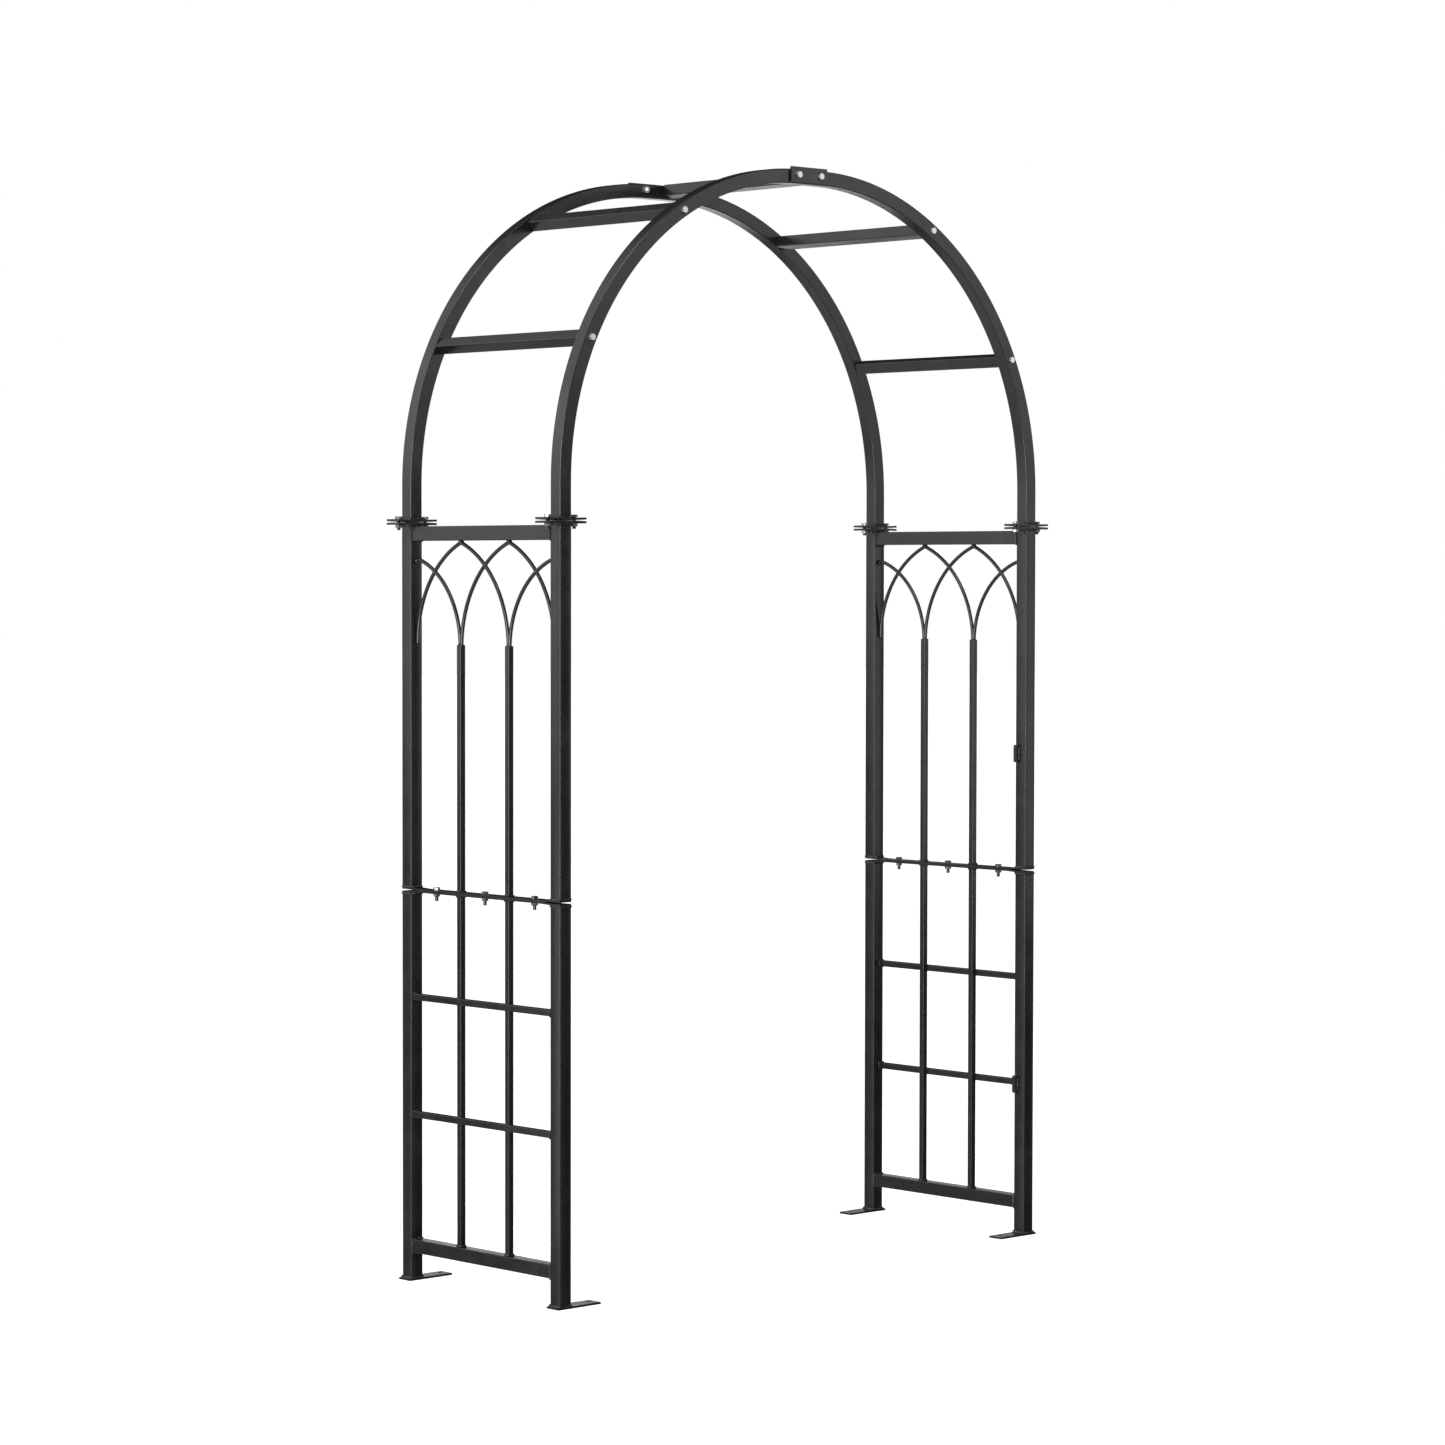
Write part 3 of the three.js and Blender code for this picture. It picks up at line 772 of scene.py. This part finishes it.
def bolt(node, axis, material, tail=None):
    """A hexagon bolt with its head at the `axis` end of its CAD box.

    `tail` is the thread beyond its nut. Without one, the bolt has no nut.
    """
    low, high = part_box(node)
    centre = middle(node)
    half = abs((high - low).dot(axis)) / 2
    top, bottom = centre + axis * half, centre - axis * half
    turn = random.Random(node).uniform(0, math.pi / 3)
    shape = Shape()
    head_base = top - axis * BOLT["head"]
    hex_body(shape, head_base, axis, BOLT["head"], BOLT["across_flats"], turn, both=False)
    if tail is not None:
        nut_base = bottom + axis * (tail + BOLT["nut"])
        nut_turn = random.Random(node + "_nut").uniform(0, math.pi / 3)
        hex_body(shape, nut_base, -axis, BOLT["nut"], BOLT["across_flats"], nut_turn, both=True)
    thread(shape, head_base + axis * THREAD_SUNK, -axis, (head_base - bottom).length)
    add_piece(node, shape, material, 35)


# ---- Everything, from the ground up ----
for side in SIDES:
    for end in ENDS:
        lower_post(side, end)
        upper_post(side, end)
    rail(f"{side}_bottom_rail", BOTTOM_RAIL, POST_CORNER)
    rail(f"{side}_top_rail", TUBE, POST_CORNER)
    flat_bar(side, "lower", -1)
    flat_bar(side, "upper", 1)
    lower_lattice(side)
    upper_lattice(side)
    for place in ("front", "middle", "back"):
        # The panel bolts use the zinc with painted shade in its colour.
        bolt(f"{side}_panel_bolt_{place}", Z, "painted_shade_zinc", PANEL_TAIL)
for level in ("lower", "upper"):
    gate_lug(level)
for end, sy in ENDS.items():
    for side in SIDES:
        quarter_hoop(side, end)
        for place in ("inner", "outer"):
            # The flange bolts use the zinc with painted shade in its colour.
            bolt(f"{side}_{end}_flange_bolt_{place}", Z, "painted_shade_zinc", FLANGE_TAIL)
    splice_plate(end)
    bolt(f"{end}_splice_bolt", Y * sy, "bright_zinc", SPLICE_TAIL)
    for place in CROSSBAR_TURNS:
        bolt(f"{end}_crossbar_bolt_{place}", Y * sy, "bright_zinc")
for place, turn in CROSSBAR_TURNS.items():
    crossbar(place, turn)


# ---- Camera ----
CAMERA = {
    "place": (-6.0679, -6.4071, 1.4688),
    "yaw": 43.35,  # degrees from +Y towards +X
    "pitch": -2.047,
    "roll": 0.0964,
    "lens": 102.24,
}


def make_camera():
    """In front of the arch and to its left, a little under the top of the panels."""
    data = bpy.data.cameras.new("camera")
    data.sensor_width = 36
    data.lens = CAMERA["lens"]
    data.clip_end = 200
    camera = bpy.data.objects.new("camera", data)
    camera.location = CAMERA["place"]
    aim = Euler((math.radians(90 + CAMERA["pitch"]), 0, math.radians(-CAMERA["yaw"]))).to_quaternion()
    camera.rotation_mode = "QUATERNION"
    camera.rotation_quaternion = aim @ Quaternion((0, 0, 1), math.radians(CAMERA["roll"]))
    bpy.context.scene.collection.objects.link(camera)
    bpy.context.scene.camera = camera


make_camera()


# ---- Studio ----
FLOOR_GLOW = 0.86  # brightness of the floor by itself, so that it stays white away from the lights
WORLD_GLOWS = (  # direction, cosines at which it begins and is full, brightness outside and inside
    ((-1, 0.1, 0), -0.5, 0.8, 0.03, 0.12),
    ((-0.65, 0.20, 0.73), 0.50, 0.85, 0.0, 1.2),
    ((-0.50, 0, -0.87), 0.46, 0.62, 0.0, 0.6),
    (X, 0.80, 0.97, 0.0, 0.55),
    (-X, 0.80, 0.97, 0.0, 0.55),
    (Y, 0.80, 0.97, 0.0, 0.55),
    (-Y, 0.80, 0.97, 0.0, 0.55),
)
SOFT_BOXES = {  # place, aim, width, height, brightness
    "back_left": ((-2.95, 2.35, 2.1), (-0.7, 0, 1.75), 1.3, 2.4, 0.85),
    "back_right": ((-1.6, 2.75, 2.25), (0.7, 0, 1.9), 1.2, 2.3, 0.48),
    "low_left": ((-1.63, 0.575, 0.42), (-0.737, -0.245, 0.45), 0.36, 0.95, 0.75),
    "front_right": ((2.46, -2.05, 1.95), (0.737, 0, 1.65), 1.2, 2.9, 0.95),
    "front_high": ((2.0, -3.05, 2.85), (-0.7, -0.245, 1.9), 1.2, 1.9, 1.0),
    "key": ((-5.0, -1.9, 1.5), (-0.2, 0, 1.3), 2.2, 3.2, 12),
    "crown_back": ((1.45, 1.3, 1.75), (0.1, -0.1, 2.3), 0.9, 1.3, 1.2),
    "foot_back_left": ((-0.03, 0.73, 0.22), (-0.722, 0, 0.08), 0.8, 0.24, 0.80),
    "foot_back_right": ((1.41, 0.73, 0.22), (0.722, 0, 0.08), 0.8, 0.24, 0.60),
    "overhead": ((-1.0, -1.75, 4.6), (-0.4, -0.2, 2.1), 1.2, 1.2, 10),
}


def make_floor():
    half = 40
    mesh = bpy.data.meshes.new("floor")
    corners = [(-half, -half, 0), (half, -half, 0), (half, half, 0), (-half, half, 0)]
    mesh.from_pydata(corners, [], [(0, 1, 2, 3)])
    floor = bpy.data.objects.new("floor", mesh)
    bpy.context.scene.collection.objects.link(floor)
    material, tree, shader = node_material("floor")
    stops = ((0.3, (0.48, 0.48, 0.48)), (0.7, (0.52, 0.52, 0.52)))
    tree.links.new(colour_ramp(tree, noise(tree, 2.5, 2), stops), shader.inputs["Base Color"])
    shader.inputs["Roughness"].default_value = 0.9
    shader.inputs["Specular IOR Level"].default_value = 0.1
    shader.inputs["Emission Color"].default_value = (1, 1, 1, 1)
    shader.inputs["Emission Strength"].default_value = FLOOR_GLOW
    mesh.materials.append(material)
    floor.visible_glossy = False


def soft_box(name, place, aim, width, height, watts):
    data = bpy.data.lights.new(name, "AREA")
    data.shape = "RECTANGLE"
    data.size = width
    data.size_y = height
    data.energy = watts
    light = bpy.data.objects.new(name, data)
    light.location = place
    light.rotation_mode = "QUATERNION"
    light.rotation_quaternion = (Vector(aim) - Vector(place)).to_track_quat("-Z", "Y")
    light.visible_camera = False
    bpy.context.scene.collection.objects.link(light)


def world_shade(tree, direction):
    """Brightness by direction: the world's glows added up. They are strongest on the left."""
    total = None
    for axis, begins, full, outside, inside in WORLD_GLOWS:
        dot = tree.nodes.new("ShaderNodeVectorMath")
        dot.operation = "DOT_PRODUCT"
        dot.inputs[1].default_value = axis
        tree.links.new(direction, dot.inputs[0])
        glow = value_range(tree, dot.outputs["Value"], begins, full, outside, inside)
        if total is None:
            total = glow
            continue
        add = tree.nodes.new("ShaderNodeMath")
        add.operation = "ADD"
        tree.links.new(total, add.inputs[0])
        tree.links.new(glow, add.inputs[1])
        total = add.outputs["Value"]
    return total


def make_world():
    """White where the camera sees it. Its light is uneven, as in a studio."""
    world = bpy.data.worlds.new("studio")
    bpy.context.scene.world = world
    world.use_nodes = True
    tree = world.node_tree
    background = tree.nodes["Background"]
    background.inputs["Color"].default_value = (1, 1, 1, 1)
    place = tree.nodes.new("ShaderNodeTexCoord")
    path = tree.nodes.new("ShaderNodeLightPath")
    mix = tree.nodes.new("ShaderNodeMix")
    mix.data_type = "FLOAT"
    mix.inputs["B"].default_value = 1.0
    tree.links.new(path.outputs["Is Camera Ray"], mix.inputs["Factor"])
    tree.links.new(world_shade(tree, place.outputs["Generated"]), mix.inputs["A"])
    tree.links.new(mix.outputs["Result"], background.inputs["Strength"])


def radiance(value, width, height):
    """Watts that give a soft box of this size that brightness."""
    return value * math.pi * width * height


make_floor()
make_world()
for name, (place, aim, width, height, brightness) in SOFT_BOXES.items():
    soft_box(name, place, aim, width, height, radiance(brightness, width, height))
bpy.context.scene.view_settings.view_transform = "Standard"
